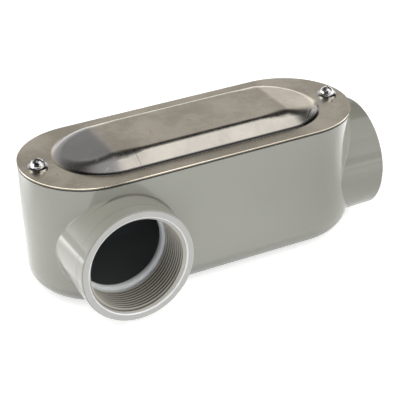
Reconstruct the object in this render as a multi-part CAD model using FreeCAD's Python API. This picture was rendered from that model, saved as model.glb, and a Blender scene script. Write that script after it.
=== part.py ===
import FreeCAD, Part
import math
import os

from FreeCAD import Rotation, Vector

# Millimetres. The origin is the middle of the flat back, +X points out of the
# end hub, +Z points up through the cover, and the side hub faces -Y.

# Hubs, and the tapered conduit threads that are cut in them
thread_radius = 30.05
thread_length = 24.6
mouth_chamfer = 0.5
throat_step = 3.8
bushing_length = 5.6
bushing_round = 2.2
hub_wall = 4.65
hub_rim_round = 1.1
hub_root_round = 1.2
side_hub_inset = 1.6
side_hub_reach = 20.1
end_hub_reach = 10.9

# Cast body round the hubs
centre_distance = 130.0
flank_beside_hub = 6.3
back_below_hub = 2.7
wall_above_hub = 6.7
side_draft = 0.58
back_round = 16.8
wall = 4.0
floor = 4.5
saddle_below_cover = 18.8

# Pressed cover and the gasket under it
sheet = 1.2
gasket_thickness = 0.8
gasket_setback = 0.5
gasket_band = 6.0
rim_beside_dome = 9.5
rim_beyond_dome = 20.5
dome_height = 7.2
dome_slope = 33.7
dome_tip_height = 1.6
dome_ramp_length = 28.5
dome_edge_round = 6.0
dome_blend_length = 20.0
dome_crease_round = 13.0
dome_tip_round = 14.0
dome_foot_round = 1.0

# Cover screws
screw_inset = 10.0
screw_radius = 2.4
screw_length = 9.5
screw_tip_gap = 1.0
boss_radius = 6.5
flange_radius = 6.0
flange_edge = 0.8
flange_thickness = 1.3
head_radius = 4.4
head_height = 4.2
slot_width = 1.5
slot_depth = 2.0
slot_turns = {"cover_screw_left": -45.0, "cover_screw_right": 45.0}

# Clearances, how far a cut runs past the face it opens, and what counts as the same place
thread_clearance = 0.05
cover_hole_clearance = 0.35
past = 2.0
same = 0.01

X, Y, Z = Vector(1, 0, 0), Vector(0, 1, 0), Vector(0, 0, 1)
hub_radius = thread_radius + hub_wall
hub_depth = thread_length + bushing_length
hub_axis_height = back_below_hub + hub_radius
throat_radius = thread_radius - throat_step
half_width = hub_radius + flank_beside_hub
half_length = centre_distance / 2 + half_width
body_height = hub_axis_height + hub_radius + wall_above_hub
cover_seat = body_height + gasket_thickness
cover_top = cover_seat + sheet
dome_half_width = half_width - rim_beside_dome
dome_tip = half_length - rim_beyond_dome
dome_crease = dome_tip - dome_ramp_length
dome_blend = dome_crease - dome_blend_length
screw_place = half_length - screw_inset
draft_slope = math.tan(math.radians(side_draft))
side_mouth = Vector(side_hub_inset - centre_distance / 2, -half_width - side_hub_reach, hub_axis_height)
end_mouth = Vector(half_length + end_hub_reach, 0, hub_axis_height)


def line(a, b):
    return Part.LineSegment(a, b).toShape()


def arc(centre, radius, start, end):
    """Arc in the XZ plane, with its angles in degrees from +X."""
    points = []
    for angle in (start, (start + end) / 2, end):
        turn = math.radians(angle)
        points.append(centre + Vector(radius * math.cos(turn), 0, radius * math.sin(turn)))
    return Part.Arc(*points).toShape()


def cylinder(radius, length, base, direction=Z):
    return Part.makeCylinder(radius, length, base, direction)


def box(low, high):
    size = high - low
    return Part.makeBox(size.x, size.y, size.z, low)


def swept_round_stadium(edges, spacing):
    """A half section, drawn in the XZ plane beside the Z axis, carried round a stadium:
    turned at both ends and straight between them."""
    half = Part.Face(Part.Wire(edges))
    pieces = []
    for side in (-1, 1):
        end = half.copy()
        end.rotate(Vector(0, 0, 0), Z, -90 * side)
        end.translate(X * side * spacing / 2)
        pieces.append(end.revolve(X * side * spacing / 2, Z, 180))
        flank = half.copy()
        flank.rotate(Vector(0, 0, 0), Z, 90 * side)
        flank.translate(X * -spacing / 2)
        pieces.append(flank.extrude(X * spacing))
    return pieces[0].fuse(pieces[1:]).removeSplitter()


def drafted_trough(inset, bottom, top):
    """The body's drafted form, with its sides moved in by inset and a rounded bottom edge."""
    radius = back_round - inset
    lean = math.radians(side_draft)

    def side_at(z):
        return half_width - inset - (body_height - z) * draft_slope

    centre = Vector(side_at(bottom + radius) - radius / math.cos(lean), 0, bottom + radius)
    side_start = centre + Vector(radius * math.cos(lean), 0, -radius * math.sin(lean))
    foot, back, rim = Vector(0, 0, bottom), Vector(centre.x, 0, bottom), Vector(side_at(top), 0, top)
    edges = [
        line(foot, back),
        arc(centre, radius, -90, -side_draft),
        line(side_start, rim),
        line(rim, Vector(0, 0, top)),
        line(Vector(0, 0, top), foot),
    ]
    return swept_round_stadium(edges, centre_distance)


def placed(shape, mouth, outward):
    """Turns a shape made about +Z, with its mouth at the origin, to its place on the body."""
    shape.Placement = FreeCAD.Placement(mouth, Rotation(Z, outward))
    return shape


def hub_solid(mouth, outward, depth):
    """Round hub with its rim eased, reaching in from its mouth by depth."""
    hub = cylinder(hub_radius, depth, Z * -depth)
    rim = [edge for edge in hub.Edges if edge.BoundBox.ZMin > -hub_rim_round]
    return placed(hub.makeFillet(hub_rim_round, rim), mouth, outward)


def hub_passage(mouth, outward):
    """What is machined and cored out of a hub: chamfered mouth, thread bore at the thread's
    major radius, and the rounded bushing that stops the conduit and guards the wires."""
    step = -thread_length
    lip = throat_radius + bushing_round
    outline = [
        Vector(0, 0, past),
        Vector(thread_radius + mouth_chamfer, 0, past),
        Vector(thread_radius + mouth_chamfer, 0, 0),
        Vector(thread_radius, 0, -mouth_chamfer),
        Vector(thread_radius, 0, step),
        Vector(lip, 0, step),
    ]
    edges = [line(a, b) for a, b in zip(outline, outline[1:])]
    edges.append(arc(Vector(lip, 0, step - bushing_round), bushing_round, 90, 180))
    edges.append(line(Vector(throat_radius, 0, step - bushing_round),
                      Vector(throat_radius, 0, bushing_round - hub_depth)))
    edges.append(arc(Vector(lip, 0, bushing_round - hub_depth), bushing_round, 180, 270))
    inner = [Vector(lip, 0, -hub_depth), Vector(lip, 0, -hub_depth - past), Vector(0, 0, -hub_depth - past)]
    inner.append(outline[0])
    edges += [line(a, b) for a, b in zip(inner, inner[1:])]
    passage = Part.Face(Part.Wire(edges)).revolve(Vector(0, 0, 0), Z, 360)
    return placed(passage, mouth, outward)


def screw_boss(side):
    """Pillar against the end wall that takes a cover screw."""
    x = side * screw_place
    pillar = cylinder(boss_radius, body_height + past, X * x)
    web_end = side * half_length
    low = Vector(min(x, web_end), -boss_radius, 0)
    high = Vector(max(x, web_end), boss_radius, body_height + past)
    return pillar.fuse(box(low, high))


def conduit_housing():
    """The one-piece casting: trough, two hubs with their bushings, and two screw bosses."""
    hubs = [
        hub_solid(side_mouth, -Y, side_hub_reach + half_width),
        hub_solid(end_mouth, X, end_hub_reach + half_width),
    ]
    outside = drafted_trough(0, 0, body_height).fuse(hubs)
    junctions = [edge for edge in outside.Edges if is_hub_root(edge)]
    outside = outside.makeFillet(hub_root_round, junctions)

    side_pad = box(
        Vector(side_mouth.x - hub_radius, -half_width, 0),
        Vector(side_mouth.x + hub_radius, side_mouth.y + hub_depth, hub_axis_height),
    )
    end_saddle = box(
        Vector(end_mouth.x - hub_depth, -half_width, 0),
        Vector(end_mouth.x, half_width, body_height - saddle_below_cover),
    )
    core = drafted_trough(wall, floor, body_height + past)
    sleeves = [hub_solid(side_mouth, -Y, hub_depth), hub_solid(end_mouth, X, hub_depth)]
    core = core.cut(sleeves + [side_pad, end_saddle, screw_boss(-1), screw_boss(1)])

    cuts = [core, hub_passage(side_mouth, -Y), hub_passage(end_mouth, X)]
    hole_bottom = cover_top - screw_length - screw_tip_gap
    for side in (-1, 1):
        base = Vector(side * screw_place, 0, hole_bottom)
        cuts.append(cylinder(screw_radius + thread_clearance, body_height - hole_bottom + past, base))
    return outside.cut(cuts).removeSplitter()


def is_hub_root(edge):
    """True on the curve where a hub leaves the trough."""
    for mouth, outward in ((side_mouth, -Y), (end_mouth, X)):
        from_axis = []
        for point in edge.discretize(5):
            along = (point - mouth).dot(outward)
            from_axis.append((point - mouth - outward * along).Length)
            if along > -hub_rim_round:
                return False
        if max(abs(radius - hub_radius) for radius in from_axis) < same:
            if edge.Curve.TypeId != "Part::GeomLine":
                return True
    return False


def stadium_prism(radius, bottom, top):
    section = [Vector(0, 0, bottom), Vector(radius, 0, bottom), Vector(radius, 0, top), Vector(0, 0, top)]
    section.append(section[0])
    return swept_round_stadium([line(a, b) for a, b in zip(section, section[1:])], centre_distance)


def screw_holes(bottom, top):
    holes = []
    for side in (-1, 1):
        base = Vector(side * screw_place, 0, bottom - past)
        holes.append(cylinder(screw_radius + cover_hole_clearance, top - bottom + 2 * past, base))
    return holes


def cover_gasket():
    """Flat gasket on the body's rim, with a lobe under each cover screw."""
    outer = half_width - gasket_setback
    gasket = stadium_prism(outer, body_height, cover_seat)
    gasket = gasket.cut(stadium_prism(outer - gasket_band, body_height, cover_seat))
    lobes = [
        cylinder(boss_radius, gasket_thickness, Vector(side * screw_place, 0, body_height))
        for side in (-1, 1)
    ]
    return gasket.fuse(lobes).cut(screw_holes(body_height, cover_seat)).removeSplitter()


def dome(inset):
    """Raised middle of the cover: a stadium with sloping sides, and a ramp down to each end.
    Every face is moved in by inset, which makes the hollow under the sheet."""
    slope = math.radians(dome_slope)
    foot_in = inset / math.sin(slope) - inset / math.tan(slope)
    bottom = cover_top - inset
    top = bottom + dome_height
    foot = dome_half_width - foot_in
    shoulder = foot - dome_height / math.tan(slope)
    section = [Vector(0, 0, bottom), Vector(foot, 0, bottom), Vector(shoulder, 0, top), Vector(0, 0, top)]
    section.append(section[0])
    spacing = 2 * (dome_tip - dome_half_width)
    body = swept_round_stadium([line(a, b) for a, b in zip(section, section[1:])], spacing)

    ramp = math.atan2(dome_height - dome_tip_height, dome_ramp_length)
    ridge = cover_top + dome_height - inset / math.cos(ramp)
    lip = ridge - dome_height + dome_tip_height
    outline = [
        Vector(-dome_tip, -half_width, lip),
        Vector(-dome_crease, -half_width, ridge),
        Vector(-dome_blend, -half_width, ridge),
        Vector(dome_blend, -half_width, ridge),
        Vector(dome_crease, -half_width, ridge),
        Vector(dome_tip, -half_width, lip),
        Vector(dome_tip, -half_width, bottom - past),
        Vector(-dome_tip, -half_width, bottom - past),
    ]
    roof = Part.Face(Part.makePolygon(outline + outline[:1])).extrude(Y * 2 * half_width)
    return body.common(roof)


def edge_round_at(x):
    """Radius of the dome's upper edge by distance from the middle: it widens towards each tip."""
    stations = [
        (0, dome_edge_round), (dome_blend, dome_edge_round),
        (dome_crease, dome_crease_round), (dome_tip, dome_tip_round),
    ]
    for (near, radius), (far, far_radius) in zip(stations, stations[1:]):
        if x < far + same:
            return radius + (far_radius - radius) * (x - near) / (far - near)


def rounded_dome(inset):
    """The dome with its upper edges eased: one quarter is rounded and then mirrored.
    It is tighter inside the sheet than outside."""
    reach = half_length + past
    quarter = dome(inset).common(box(Vector(0, 0, 0), Vector(reach, reach, cover_top + dome_height + past)))
    top = quarter.BoundBox.ZMax
    document = FreeCAD.newDocument("cover")
    sharp = document.addObject("Part::Feature", "sharp")
    sharp.Shape = quarter
    eased = document.addObject("Part::Fillet", "eased")
    eased.Base = sharp
    radii = []
    for number, edge in enumerate(sharp.Shape.Edges, 1):
        bounds = edge.BoundBox
        on_cut = bounds.YMax < same or bounds.XMax < same
        on_seam = abs(bounds.XMin - dome_blend) < same and bounds.XLength < same
        upper = bounds.ZMin > top - same or isinstance(edge.Curve, Part.Ellipse)
        if upper and not on_cut and not on_seam:
            ends = [edge.valueAt(at).x for at in (edge.FirstParameter, edge.LastParameter)]
            radii.append((number, *[edge_round_at(x) - inset for x in ends]))
    eased.Edges = radii
    document.recompute()
    half = eased.Shape.fuse(eased.Shape.mirror(Vector(0, 0, 0), Y))
    whole = half.fuse(half.mirror(Vector(0, 0, 0), X)).removeSplitter()
    FreeCAD.closeDocument(document.Name)
    return whole


def foot_edges(shape, z):
    """The dome's outline where it meets the flat rim of the cover at height z."""
    outline = []
    for edge in shape.Edges:
        bounds = edge.BoundBox
        level = abs(bounds.ZMin - z) < same and abs(bounds.ZMax - z) < same
        if level and max(bounds.YMax, -bounds.YMin) < (dome_half_width + half_width) / 2:
            outline.append(edge)
    return outline


def cover_plate():
    """Sheet cover, pressed in one piece and punched for the two screws."""
    cover = stadium_prism(half_width, cover_seat, cover_top).fuse(rounded_dome(0)).removeSplitter()
    cover = cover.makeFillet(dome_foot_round, foot_edges(cover, cover_top))
    cover = cover.cut(rounded_dome(sheet))
    cover = cover.makeFillet(dome_foot_round + sheet, foot_edges(cover, cover_seat))
    return cover.cut(screw_holes(cover_seat, cover_top)).removeSplitter()


def cover_screw(name, side):
    """Round-headed screw with its own flange and a driver slot."""
    section = [
        Vector(0, 0, -screw_length),
        Vector(screw_radius, 0, -screw_length),
        Vector(screw_radius, 0, 0),
        Vector(flange_radius, 0, 0),
        Vector(flange_radius, 0, flange_edge),
        Vector(head_radius, 0, flange_thickness),
    ]
    edges = [line(a, b) for a, b in zip(section, section[1:])]
    crown = Vector(0, 0, flange_thickness + head_height)
    cap = (head_radius ** 2 + head_height ** 2) / (2 * head_height)
    middle = Vector(0, 0, flange_thickness + head_height - cap)
    start = math.degrees(math.atan2(cap - head_height, head_radius))
    edges.append(arc(middle, cap, start, 90))
    edges.append(line(crown, section[0]))
    screw = Part.Face(Part.Wire(edges)).revolve(Vector(0, 0, 0), Z, 360)
    slot = box(
        Vector(-flange_radius, -slot_width / 2, crown.z - slot_depth),
        Vector(flange_radius, slot_width / 2, crown.z + past),
    )
    slot.rotate(Vector(0, 0, 0), Z, slot_turns[name])
    screw = screw.cut(slot)
    screw.translate(Vector(side * screw_place, 0, cover_top))
    return screw


def write(name, shape):
    shape.exportStep("parts/" + name + ".step")
    print(name, "solids", len(shape.Solids), "valid", shape.isValid(), "volume", round(shape.Volume))


os.makedirs("parts", exist_ok=True)
write("conduit_housing", conduit_housing())
write("cover_gasket", cover_gasket())
write("cover_plate", cover_plate())
write("cover_screw_left", cover_screw("cover_screw_left", -1))
write("cover_screw_right", cover_screw("cover_screw_right", 1))
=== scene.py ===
import math

import bmesh
import bpy
from mathutils import Matrix, Vector


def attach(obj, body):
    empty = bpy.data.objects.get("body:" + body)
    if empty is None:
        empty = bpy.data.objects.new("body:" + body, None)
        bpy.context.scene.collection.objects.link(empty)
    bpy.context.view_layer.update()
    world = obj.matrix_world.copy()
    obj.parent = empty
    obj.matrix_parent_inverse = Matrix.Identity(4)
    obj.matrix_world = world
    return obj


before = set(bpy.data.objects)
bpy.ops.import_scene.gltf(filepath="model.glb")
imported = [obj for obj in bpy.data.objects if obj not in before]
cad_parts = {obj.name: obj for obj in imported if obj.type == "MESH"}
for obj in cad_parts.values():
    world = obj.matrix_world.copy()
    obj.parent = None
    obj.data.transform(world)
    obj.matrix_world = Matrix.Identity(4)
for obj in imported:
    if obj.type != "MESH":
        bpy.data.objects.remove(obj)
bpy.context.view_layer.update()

# The body casting: one piece of light alloy, sprayed with a light grey enamel
# that flows a little and dries glossy. The mouths are faced and the bushings
# bored after painting, so those are bare. The trough inside is coloured near
# black, which is painted shade, and the crease at the top of the side hub's
# root carries a line of painted shade.
MM = 0.001
side_mouth = Vector((-63.4, -61.1, 37.4)) * MM
end_mouth = Vector((116.9, 0.0, 37.4)) * MM
end_centre = 65 * MM
root_radius = 35.3 * MM
root_depth = 19.6 * MM
turned_step = 0.16 * MM
enamel_ripple = 0.01 * MM

# Each pair is where a finish starts to change and where the change is complete.
faced_depth = 0.05 * MM, 0.15 * MM
bored_radius = 30.6 * MM, 30.8 * MM
bored_depth = 27.2 * MM, 29.6 * MM
core_radius = 33.7 * MM, 36.7 * MM
core_floor = 2 * MM, 3.4 * MM
turned_depth = 7.65 * MM, 8.35 * MM
turned_radius = 36 * MM, 37 * MM
turned_side = -12 * MM, -2 * MM
root_line_width = 0.35 * MM, 1.1 * MM
root_line_start = -84 * MM, -70 * MM
root_line_height = 5 * MM, 20 * MM
speck_size = 0.02, 0.035
speck_share = 0.90, 0.92

enamel = (0.312, 0.313, 0.277)
enamel_shades = 0.97, 1.03
enamel_roughness = 0.055, 0.085
enamel_ior = 1.6
enamel_speck = (0.12, 0.10, 0.08, 1.0)
# The colour of the painted shade in the side hub's root crease.
root_crease_shade_colour = (0.10, 0.09, 0.07, 1.0)
# The colour of the painted shade inside the trough.
core_shade_colour = (0.12, 0.135, 0.147, 1.0)
faced_alloy = (0.46, 0.455, 0.447, 1.0)
bored_alloy = (0.93, 0.94, 0.97, 1.0)
bare_roughness = 0.48


class Shader:
    """Adds nodes to one material, or to the world, and links them as they are written."""

    def __init__(self, owner, coordinates="Object"):
        owner.use_nodes = True
        self.owner = owner
        self.tree = owner.node_tree
        self.place = self.add("ShaderNodeTexCoord").outputs[coordinates]

    def add(self, kind, inputs=(), **settings):
        node = self.tree.nodes.new(kind)
        for key, value in settings.items():
            setattr(node, key, value)
        for key, value in dict(inputs).items():
            self.set(node.inputs[key], value)
        return node

    def set(self, socket, value):
        if isinstance(value, bpy.types.NodeSocket):
            self.tree.links.new(value, socket)
        else:
            socket.default_value = value

    def look(self, **inputs):
        surface = self.tree.nodes["Principled BSDF"]
        for key, value in inputs.items():
            self.set(surface.inputs[key.replace("_", " ").title().replace("Ior", "IOR")], value)

    def math(self, operation, a, b=0.0):
        return self.add("ShaderNodeMath", {0: a, 1: b}, operation=operation).outputs[0]

    def plus(self, a, b):
        return self.math("ADD", a, b)

    def minus(self, a, b):
        return self.math("SUBTRACT", a, b)

    def larger(self, a, b):
        return self.math("MAXIMUM", a, b)

    def magnitude(self, a):
        return self.math("ABSOLUTE", a)

    def times(self, a, *others):
        return self.math("MULTIPLY", a, others[0] if len(others) == 1 else self.times(*others))

    def length(self, a, b):
        return self.math("SQRT", self.plus(self.times(a, a), self.times(b, b)))

    def axes(self):
        return self.add("ShaderNodeSeparateXYZ", {"Vector": self.place}).outputs

    def noise(self, scale, detail=4.0, roughness=0.55, stretch=(1, 1, 1)):
        mapping = self.add("ShaderNodeMapping", {"Vector": self.place, "Scale": stretch})
        wanted = {"Vector": mapping.outputs[0], "Scale": scale, "Detail": detail, "Roughness": roughness}
        return self.add("ShaderNodeTexNoise", wanted).outputs["Fac"]

    def rising(self, value, low, high, to_low=0.0, to_high=1.0):
        wanted = {"Value": value, "From Min": low, "From Max": high, "To Min": to_low, "To Max": to_high}
        return self.add("ShaderNodeMapRange", wanted, interpolation_type="SMOOTHSTEP").outputs[0]

    def falling(self, value, low, high, full=1.0):
        return self.rising(value, low, high, full, 0.0)

    def dots(self, scale, size, share, strength):
        """Scattered dots, one in each cell whose random number lies above the share."""
        cells = self.add("ShaderNodeTexVoronoi", {"Vector": self.place, "Scale": scale}).outputs
        number = self.add("ShaderNodeSeparateColor", {"Color": cells["Color"]}).outputs["Red"]
        return self.times(self.falling(cells["Distance"], *size, strength), self.rising(number, *share))

    def blend_value(self, amount, a, b):
        return self.plus(self.times(a, self.minus(1.0, amount)), self.times(amount, b))

    def blend(self, amount, a, b):
        return self.add("ShaderNodeMix", {0: amount, 6: a, 7: b}, data_type="RGBA").outputs[2]

    def bump(self, height, depth, strength, under=None):
        wanted = {"Height": height, "Distance": depth, "Strength": strength}
        if under is not None:
            wanted["Normal"] = under
        return self.add("ShaderNodeBump", wanted).outputs[0]

    def cover(self, piece):
        piece.data.materials.clear()
        piece.data.materials.append(self.owner)


def from_middle_line(shader, x, y):
    """The distance, seen from above, from the line between the centres of the round ends."""
    past_centre = shader.larger(shader.minus(shader.magnitude(x), end_centre), 0.0)
    return shader.length(past_centre, y)


def dress(node, shader):
    """Gives a piece of the frame its finish."""
    shader.cover(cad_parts[node])


paint = Shader(bpy.data.materials.new("grey_enamel"))
x, y, z = paint.axes()
height = paint.minus(z, side_mouth.z)
from_side_axis = paint.length(paint.minus(x, side_mouth.x), height)
from_end_axis = paint.length(y, height)
side_depth = paint.minus(y, side_mouth.y)
end_depth = paint.minus(end_mouth.x, x)

# Painted shade: inside the trough the enamel turns near black, standing in for the shade under the
# closed cover.
painted_core_shade = paint.times(
    paint.falling(from_middle_line(paint, x, y), *core_radius),
    paint.rising(z, *core_floor),
)
faced, bored = 0.0, 0.0
for depth, radius in ((side_depth, from_side_axis), (end_depth, from_end_axis)):
    faced = paint.larger(faced, paint.falling(depth, *faced_depth))
    in_bore = paint.times(paint.falling(radius, *bored_radius), paint.falling(depth, *bored_depth))
    bored = paint.larger(bored, in_bore)
turned = paint.times(
    paint.falling(y, *turned_side),
    paint.falling(side_depth, *turned_depth),
    paint.falling(from_side_axis, *turned_radius),
)
# Painted shade: a dark line along the upper part of the crease where the side hub meets the body.
from_root = paint.length(
    paint.minus(from_side_axis, root_radius),
    paint.minus(side_depth, root_depth),
)
painted_root_crease_shade = paint.times(
    paint.falling(from_root, *root_line_width, 0.9),
    paint.rising(x, *root_line_start),
    paint.rising(height, *root_line_height),
)

darker, lighter = ([shade * c for c in enamel] + [1.0] for shade in enamel_shades)
finish = paint.blend(paint.rising(paint.noise(9.0, 3.0), 0.35, 0.65), darker, lighter)
finish = paint.blend(paint.dots(70.0, speck_size, speck_share, 0.7), finish, enamel_speck)
finish = paint.blend(painted_root_crease_shade, finish, root_crease_shade_colour)
finish = paint.blend(painted_core_shade, finish, core_shade_colour)
finish = paint.blend(faced, finish, faced_alloy)
sprayed = paint.rising(paint.noise(60.0), 0.3, 0.7, *enamel_roughness)
ripple = paint.bump(paint.noise(300.0, 2.0), enamel_ripple, 0.2)
paint.look(
    base_color=paint.blend(bored, finish, bored_alloy),
    roughness=paint.blend_value(paint.larger(faced, bored), sprayed, bare_roughness),
    normal=paint.bump(turned, turned_step, 1.0, ripple),
    ior=enamel_ior,
)
dress("conduit_housing", paint)

# The conduit threads: tapered, eleven or so turns, cut in both hubs after the
# casting is painted, so they are bare metal. Their roots are coloured near black,
# which is painted shade, and the crests turn a little darker and browner deeper in
# the bore, also painted shade. The tool's countersink has taken the crest off the
# first turn and left it bright.
thread_pitch = 2.209 * MM
thread_length = 24.6 * MM
thread_bore = 30.05 * MM
thread_height = 1.70 * MM
thread_taper = 1 / 32
crest_flat = 0.30 * MM
root_flat = 0.12 * MM
countersink_radius = 30.4 * MM
countersink_slope = 1.3
countersunk_turns = 0.6, 1.8
run_out_turns = 0.4
least_ridge = 0.01
steps_a_turn = 90
# The colours of the painted shade in the thread roots.
painted_root_shades = (0.010, 0.008, 0.007, 1.0), (0.024, 0.021, 0.018, 1.0)
crest_shades = (0.45, 0.43, 0.385, 1.0), (0.44, 0.41, 0.35, 1.0)
crest_width = 0.45, 1.0
cut_roughness = 0.36, 0.46

thread_metal = Shader(bpy.data.materials.new("cut_thread"))
crest_share = thread_metal.add("ShaderNodeAttribute", attribute_name="crest").outputs["Fac"]
painted_depth_shade = thread_metal.add("ShaderNodeAttribute", attribute_name="depth").outputs["Fac"]
cutter_marks = thread_metal.noise(260.0, 3.0)
# Painted shade: near-black roots between the crests, and crests a little darker deeper in the bore.
thread_metal.look(
    base_color=thread_metal.blend(
        thread_metal.rising(crest_share, *crest_width),
        thread_metal.blend(cutter_marks, *painted_root_shades),
        thread_metal.blend(thread_metal.rising(painted_depth_shade, 0.0, 0.7), *crest_shades),
    ),
    metallic=0.05,
    roughness=thread_metal.rising(cutter_marks, 0.3, 0.7, *cut_roughness),
)


def winding_thread(name, mouth, outward):
    """One ridge wound into the hub along a tapered helix, run out to nothing at its deep end."""
    half = thread_pitch / 2
    crest_radius = thread_bore - thread_height
    section = [  # radius, place along the axis, and 1 on the crest
        (thread_bore, half, 0.0),
        (thread_bore, half - root_flat / 2, 0.0),
        (crest_radius, crest_flat / 2, 1.0),
        (crest_radius, -crest_flat / 2, 1.0),
        (thread_bore, root_flat / 2 - half, 0.0),
        (thread_bore, -half, 0.0),
    ]
    turns = thread_length / thread_pitch - 1.0
    steps = round(steps_a_turn * turns)
    mesh = bmesh.new()
    ring = [mesh.verts.new((-radius, 0, along)) for radius, along, _ in section]
    face = mesh.faces.new(ring)
    bmesh.ops.spin(
        mesh, geom=[face, *face.edges, *ring], cent=(0, 0, 0), axis=(0, 0, 1),
        dvec=(0, 0, -thread_pitch / steps_a_turn), angle=2 * math.pi * steps / steps_a_turn,
        steps=steps, use_merge=False,
    )
    bmesh.ops.translate(mesh, verts=mesh.verts, vec=(0, 0, -half))

    crest_layer = mesh.verts.layers.float.new("crest")
    depth_layer = mesh.verts.layers.float.new("depth")
    bright_until, dull_from = countersunk_turns
    mesh.verts.ensure_lookup_table()
    for index, vert in enumerate(mesh.verts):
        corner = index % len(section)
        turn = index // len(section) / steps_a_turn
        countersunk = min(1.0, (dull_from - turn) / (dull_from - bright_until))
        vert[crest_layer] = max(section[corner][2], countersunk)
        vert[depth_layer] = turn / turns
        if corner in (0, len(section) - 1):
            continue
        ridge = max(least_ridge, min(1.0, turn / run_out_turns, (turns - turn) / run_out_turns))
        radius = math.hypot(vert.co.x, vert.co.y)
        depth = -vert.co.z
        wanted = thread_bore - (thread_bore - radius + depth * thread_taper) * ridge
        wanted = max(wanted, min(thread_bore, countersink_radius - depth * countersink_slope))
        vert.co.x *= wanted / radius
        vert.co.y *= wanted / radius

    bmesh.ops.recalc_face_normals(mesh, faces=mesh.faces)
    turn_to_hub = Vector((0, 0, 1)).rotation_difference(outward).to_matrix()
    bmesh.ops.rotate(mesh, verts=mesh.verts, cent=(0, 0, 0), matrix=turn_to_hub)
    bmesh.ops.translate(mesh, verts=mesh.verts, vec=mouth)
    data = bpy.data.meshes.new(name)
    mesh.to_mesh(data)
    mesh.free()
    piece = bpy.data.objects.new(name, data)
    bpy.context.scene.collection.objects.link(piece)
    thread_metal.cover(piece)
    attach(piece, "root")


winding_thread("side_thread", side_mouth, Vector((0, -1, 0)))
winding_thread("end_thread", end_mouth, Vector((1, 0, 0)))

# The gasket: thin black rubber sheet, squeezed between the casting and the
# cover so that only its edge shows.
rubber_shades = (0.012, 0.012, 0.012, 1.0), (0.03, 0.03, 0.028, 1.0)
rubber_roughness = 0.7, 0.9

rubber = Shader(bpy.data.materials.new("black_rubber"))
rubber.look(
    base_color=rubber.blend(rubber.noise(300.0), *rubber_shades),
    roughness=rubber.rising(rubber.noise(500.0), 0.3, 0.7, *rubber_roughness),
)
dress("cover_gasket", rubber)

# The cover: bare aluminium sheet, pressed in one stroke and left unpainted. The
# flats are stained brown by handling. The near wall of the dome is tinted part
# way to a darker grey, and the left end of the dome fully, where the grey is
# painted shade. The foot of the near wall and the lower half of the sheet's edge
# carry painted shade, and it has some scuffs and one scratch across.
sheet_top = 80.8 * MM
sheet_grain = 0.012 * MM
left_end_wander = 12 * MM
scratch_x = -45 * MM
scratch_y = -20.4 * MM
scuff_start = 90.5 * MM, -3.0 * MM
scuff_finish = 64.0 * MM, -29.0 * MM
scuff_fade = 18 * MM
hairs_along, hairs_across = 60.0, 1400.0

# Pairs again. The heights are above the flats of the sheet.
dome_height = 0.3 * MM, 1.5 * MM
foot_start = 0.03 * MM, 0.25 * MM
foot_finish = 0.7 * MM, 1.4 * MM
edge_shade_height = -0.6 * MM, -0.35 * MM
left_end_reach = -68 * MM, -54 * MM
near_wall_reach = -21 * MM, -18 * MM
near_side_reach = -22 * MM, -8 * MM
scratch_width = 0.08 * MM, 0.26 * MM
scratch_end = scratch_y, scratch_y + 0.4 * MM
nick_size = 0.35 * MM, 0.75 * MM
scuff_width = 1.2 * MM, 2.6 * MM
scuff_rise = -1 * MM, 2 * MM
spot_size = 0.06, 0.13
spot_share = 0.80, 0.86

# The darker grey of the near wall's tint and of the painted shade at the dome's left end.
grey_wall_and_shade_sheet = (0.57, 0.555, 0.54, 1.0), (0.63, 0.61, 0.59, 1.0)
stained_sheet = (0.595, 0.53, 0.428, 1.0), (0.86, 0.775, 0.638, 1.0)
sheet_spot = (0.16, 0.14, 0.12, 1.0)
scuffed_sheet = (0.99, 0.98, 0.96, 1.0)
# The colour of the scratch and the nick, and of the painted shade at the dome's foot and the sheet's
# edge.
marks_and_shade_colour = (0.035, 0.035, 0.04, 1.0)
stained_roughness = 0.20, 0.28
grey_wall_roughness = 0.27
scuff_roughness = 0.28

sheet = Shader(bpy.data.materials.new("pressed_sheet"))
x, y, z = sheet.axes()
cloud = sheet.noise(24.0, 6.0, 0.62)
spots = sheet.noise(110.0, 6.0, 0.7)
grain = sheet.noise(900.0, 3.0, 0.6, (0.25, 1.0, 1.0))
above = sheet.minus(z, sheet_top)
on_dome = sheet.rising(above, *dome_height)
left_end = sheet.falling(sheet.minus(x, sheet.times(cloud, left_end_wander)), *left_end_reach)
near_wall = sheet.falling(y, *near_wall_reach, 0.55)
near_side = sheet.falling(y, *near_side_reach)

# Painted shade: the left end of the dome turns a darker grey; the near wall gets part of the same grey
# tint.
greyed_walls_and_shade = sheet.times(on_dome, sheet.larger(left_end, near_wall))
mottle = sheet.rising(sheet.blend_value(0.35, cloud, spots), 0.38, 0.62)
tinted = sheet.blend(greyed_walls_and_shade, sheet.blend(mottle, *stained_sheet), sheet.blend(mottle, *grey_wall_and_shade_sheet))
tinted = sheet.blend(sheet.dots(190.0, spot_size, spot_share, 0.8), tinted, sheet_spot)

# Painted shade: a dark line at the foot of the dome's near wall, and the lower half of the sheet's edge
# darkened.
foot = sheet.times(sheet.rising(above, *foot_start), sheet.falling(above, *foot_finish))
painted_edge_shade = sheet.falling(above, *edge_shade_height, 0.85)
from_scratch = sheet.magnitude(sheet.minus(x, scratch_x))
from_nick = sheet.length(from_scratch, sheet.times(sheet.minus(y, scratch_y), 0.6))
scratched = sheet.times(
    sheet.falling(from_scratch, *scratch_width, 0.5),
    sheet.falling(y, *scratch_end),
    on_dome,
)
marks_and_painted_shade = sheet.larger(scratched, sheet.falling(from_nick, *nick_size, 0.8))
marks_and_painted_shade = sheet.larger(marks_and_painted_shade, sheet.larger(sheet.times(foot, near_side), painted_edge_shade))

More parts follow.
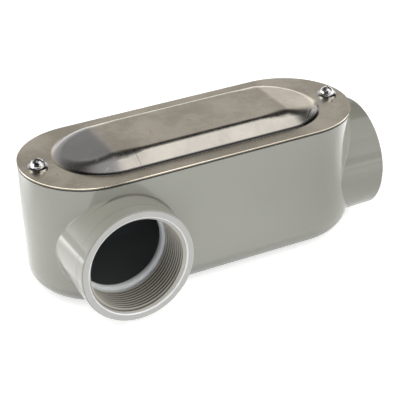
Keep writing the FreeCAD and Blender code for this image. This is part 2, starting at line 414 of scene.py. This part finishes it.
scuff_length = math.dist(scuff_start, scuff_finish)
along_x, along_y = ((b - a) / scuff_length for a, b in zip(scuff_start, scuff_finish))
out_x, out_y = sheet.minus(x, scuff_start[0]), sheet.minus(y, scuff_start[1])
ahead = sheet.plus(sheet.times(out_x, along_x), sheet.times(out_y, along_y))
aside = sheet.minus(sheet.times(out_x, along_y), sheet.times(out_y, along_x))
combed = sheet.add("ShaderNodeCombineXYZ", {
    "X": sheet.times(ahead, hairs_along),
    "Y": sheet.times(aside, hairs_across),
}).outputs[0]
hairs = sheet.add("ShaderNodeTexNoise", {"Vector": combed, "Scale": 1.0, "Detail": 2.0}).outputs["Fac"]
scuffed = sheet.times(
    sheet.times(sheet.rising(hairs, 0.48, 0.56), sheet.falling(sheet.magnitude(aside), *scuff_width)),
    sheet.rising(ahead, *scuff_rise),
    sheet.falling(ahead, scuff_length - scuff_fade, scuff_length),
)
rubbed = sheet.times(sheet.rising(spots, 0.52, 0.64), left_end, near_side)
worn = sheet.larger(scuffed, sheet.times(rubbed, on_dome, 0.8))

pressed = sheet.rising(spots, 0.3, 0.7, *stained_roughness)
sheet.look(
    base_color=sheet.blend(marks_and_painted_shade, sheet.blend(worn, tinted, scuffed_sheet), marks_and_shade_colour),
    metallic=1.0,
    roughness=sheet.plus(
        sheet.blend_value(greyed_walls_and_shade, pressed, grey_wall_roughness),
        sheet.times(worn, scuff_roughness),
    ),
    normal=sheet.bump(grain, sheet_grain, 0.25),
)
dress("cover_plate", sheet)

# The cover screws: steel with a bright zinc plating, driven home through the
# cover and its gasket into the casting's two pillars.
zinc_shades = (0.72, 0.72, 0.73, 1.0), (0.82, 0.82, 0.80, 1.0)
zinc_roughness = 0.07, 0.13

zinc = Shader(bpy.data.materials.new("bright_zinc"))
zinc.look(
    base_color=zinc.blend(zinc.noise(400.0), *zinc_shades),
    metallic=1.0,
    roughness=zinc.rising(zinc.noise(700.0), 0.3, 0.7, *zinc_roughness),
)
for screw in ("cover_screw_left", "cover_screw_right"):
    dress(screw, zinc)

# The floor: a white sweep, which keeps the soft shadow under the body. The
# camera sees it as white paper that is whitest far out. To the gloss of enamel
# and metal the floor glows, a painted reflection with painted pools of light and
# of shade on it, and a painted shadow round the body.
floor_size = 6.0
floor_height = -0.2 * MM
floor_white = (0.80, 0.80, 0.80, 1.0)
seen_lift = 0.65, 1.0
seen_lift_reach = 0.2, 0.7
mirrored_lift = 1.0
least_mirrored = 0.05
footprint = 41 * MM, 50 * MM
footprint_level = 0.5
pools = (  # x, y, radius and level
    (-0.16, 0.03, 0.14, 0.5),
    (-0.235, 0.17, 0.12, 3.0),
    (-0.07, 0.12, 0.09, -0.5),
    (-0.07, -0.09, 0.11, 0.8),
    (0.14, -0.08, 0.115, -0.97),
    (0.215, -0.005, 0.09, 1.5),
    (0.27, -0.32, 0.33, -0.95),
)

sweep = bmesh.new()
bmesh.ops.create_grid(sweep, x_segments=1, y_segments=1, size=floor_size)
bmesh.ops.translate(sweep, verts=sweep.verts, vec=(0, 0, floor_height))
floor_data = bpy.data.meshes.new("floor")
sweep.to_mesh(floor_data)
sweep.free()
floor = bpy.data.objects.new("floor", floor_data)
bpy.context.scene.collection.objects.link(floor)

paper = Shader(bpy.data.materials.new("white_paper"))
paper.look(base_color=floor_white, roughness=0.9, specular_ior_level=0.0)
x, y, _ = paper.axes()
gloss_glow = mirrored_lift
# Painted light and shade: each pool brightens the glow that gloss sees, or darkens it where its level is
# below nought.
for pool_x, pool_y, pool_radius, pool_level in pools:
    away = paper.add("ShaderNodeVectorMath", {
        0: paper.place, 1: (pool_x, pool_y, floor_height),
    }, operation="DISTANCE").outputs["Value"]
    gloss_glow = paper.plus(gloss_glow, paper.falling(away, 0.0, pool_radius, pool_level))
# Painted shadow: the glow that gloss sees falls to half round the body's footprint.
clear = paper.rising(from_middle_line(paper, x, y), *footprint, footprint_level, 1.0)
gloss_glow = paper.larger(paper.times(gloss_glow, clear), least_mirrored)
seen = paper.rising(paper.length(x, y), *seen_lift_reach, *seen_lift)
ray = paper.add("ShaderNodeLightPath").outputs
lift = paper.plus(
    paper.times(ray["Is Camera Ray"], seen),
    paper.times(ray["Is Glossy Ray"], gloss_glow),
)
glow = paper.add("ShaderNodeEmission", {"Strength": lift}).outputs[0]
plain = paper.tree.nodes["Principled BSDF"].outputs[0]
lit = paper.add("ShaderNodeAddShader", {0: plain, 1: glow}).outputs[0]
paper.set(paper.tree.nodes["Material Output"].inputs["Surface"], lit)
paper.cover(floor)

# The studio: low white walls that fade to a dark ceiling with a paler middle,
# brighter and darker patches on them, two soft boxes at the right front, and
# four small lamps that light the object but add no highlight of their own.
studio_level = 1.2
wall_heights = (  # the sine of the elevation, and the level there
    (0.0, 0.95), (0.1, 0.80), (0.225, 0.50), (0.3, 0.40), (0.48, 0.40),
    (0.56, 0.18), (0.73, 0.04), (0.91, 0.03), (0.97, 0.36), (1.0, 0.40),
)
patches = (  # the direction, how near to it the patch starts and is full, and its gain
    ((-0.42, -0.91, 0.0), 0.2, 0.75, 0.12),
    ((0.68, 0.18, 0.71), 0.80, 0.93, 0.1),
    ((-0.97, 0.14, 0.17), 0.84, 1.0, 4.5),
    ((-0.64, 0.77, 0.0), 0.88, 0.94, 1.8),
    ((1.0, 0.0, 0.0), 0.4, 0.9, 1.3),
)
soft_boxes = (  # name, azimuth, elevation, distance, width, height, level, colour, seen by gloss
    ("right_box", -58, 26, 1.2, 1.3, 0.6, 0.72, (1.0, 1.0, 1.0), True),
    ("top_box", -39, 57, 1.2, 1.0, 0.8, 1.1, (1.0, 1.0, 1.0), True),
    ("fill_box", -82, 50, 0.5, 0.36, 0.2, 2.5, (1.0, 0.96, 0.88), False),
    ("front_box", -106, 8, 0.36, 0.3, 0.12, 2.1, (0.90, 0.97, 1.0), False),
    ("over_box", -168, 48, 0.45, 0.3, 0.2, 3.4, (1.0, 0.97, 0.90), False),
    ("end_box", 10, 10, 0.8, 0.5, 0.3, 7.5, (1.0, 1.0, 0.98), False),
)
lit_point = Vector((0.0, 0.0, 40 * MM))

walls = Shader(bpy.data.worlds.new("studio"), "Generated")
bpy.context.scene.world = walls.owner
bands = walls.add("ShaderNodeValToRGB", {"Fac": walls.axes()["Z"]})
stops = bands.color_ramp.elements
while len(stops) < len(wall_heights):
    stops.new(0.5)
for stop, (sine, grey) in zip(stops, wall_heights):
    stop.position = sine
    stop.color = (grey, grey, grey, 1.0)
wall_level = studio_level
for direction, start, full, gain in patches:
    nearness = walls.add("ShaderNodeVectorMath", {
        0: walls.place, 1: direction,
    }, operation="DOT_PRODUCT").outputs["Value"]
    wall_level = walls.times(walls.rising(nearness, start, full, 1.0, gain), wall_level)
wall_level = walls.times(wall_level, bands.outputs["Color"])
white_out = walls.add("ShaderNodeLightPath").outputs["Is Camera Ray"]
background = walls.tree.nodes["Background"].inputs
walls.set(background["Color"], (1.0, 1.0, 1.0, 1.0))
walls.set(background["Strength"], walls.larger(wall_level, white_out))

for name, azimuth, elevation, distance, width, tall, level, colour, in_gloss in soft_boxes:
    around, lifted = math.radians(azimuth), math.radians(elevation)
    flat = math.cos(lifted)
    outwards = Vector((math.cos(around) * flat, math.sin(around) * flat, math.sin(lifted)))
    lamp = bpy.data.lights.new(name, "AREA")
    lamp.shape = "RECTANGLE"
    lamp.size, lamp.size_y = width, tall
    lamp.energy = level * math.pi * width * tall
    lamp.color = colour
    box = bpy.data.objects.new(name, lamp)
    box.location = lit_point + outwards * distance
    box.rotation_euler = outwards.to_track_quat("Z", "Y").to_euler()
    box.visible_glossy = in_gloss
    bpy.context.scene.collection.objects.link(box)

# The camera: a long lens at the front left that looks down on the cover at
# about thirty degrees, and is turned a little about its own axis.
camera_azimuth = -26.64
camera_elevation = 28.97
camera_roll = -1.70
camera_distance = 862.65 * MM
camera_target = Vector((-0.7, -13.82, 39.78)) * MM
lens = 129.6

turned_by, raised_by, rolled_by = (
    math.radians(angle) for angle in (camera_azimuth, camera_elevation, camera_roll)
)
flat = math.cos(raised_by)
back = Vector((math.sin(turned_by) * flat, -math.cos(turned_by) * flat, math.sin(raised_by)))
right = Vector((math.cos(turned_by), math.sin(turned_by), 0.0))
up = back.cross(right)
across = right * math.cos(rolled_by) + up * math.sin(rolled_by)
upward = up * math.cos(rolled_by) - right * math.sin(rolled_by)
camera = bpy.data.objects.new("camera", bpy.data.cameras.new("camera"))
camera.data.lens = lens
camera.matrix_world = Matrix.Translation(camera_target + back * camera_distance) @ Matrix(
    (across, upward, back)).transposed().to_4x4()
bpy.context.scene.collection.objects.link(camera)
bpy.context.scene.camera = camera
bpy.context.scene.view_settings.view_transform = "Standard"
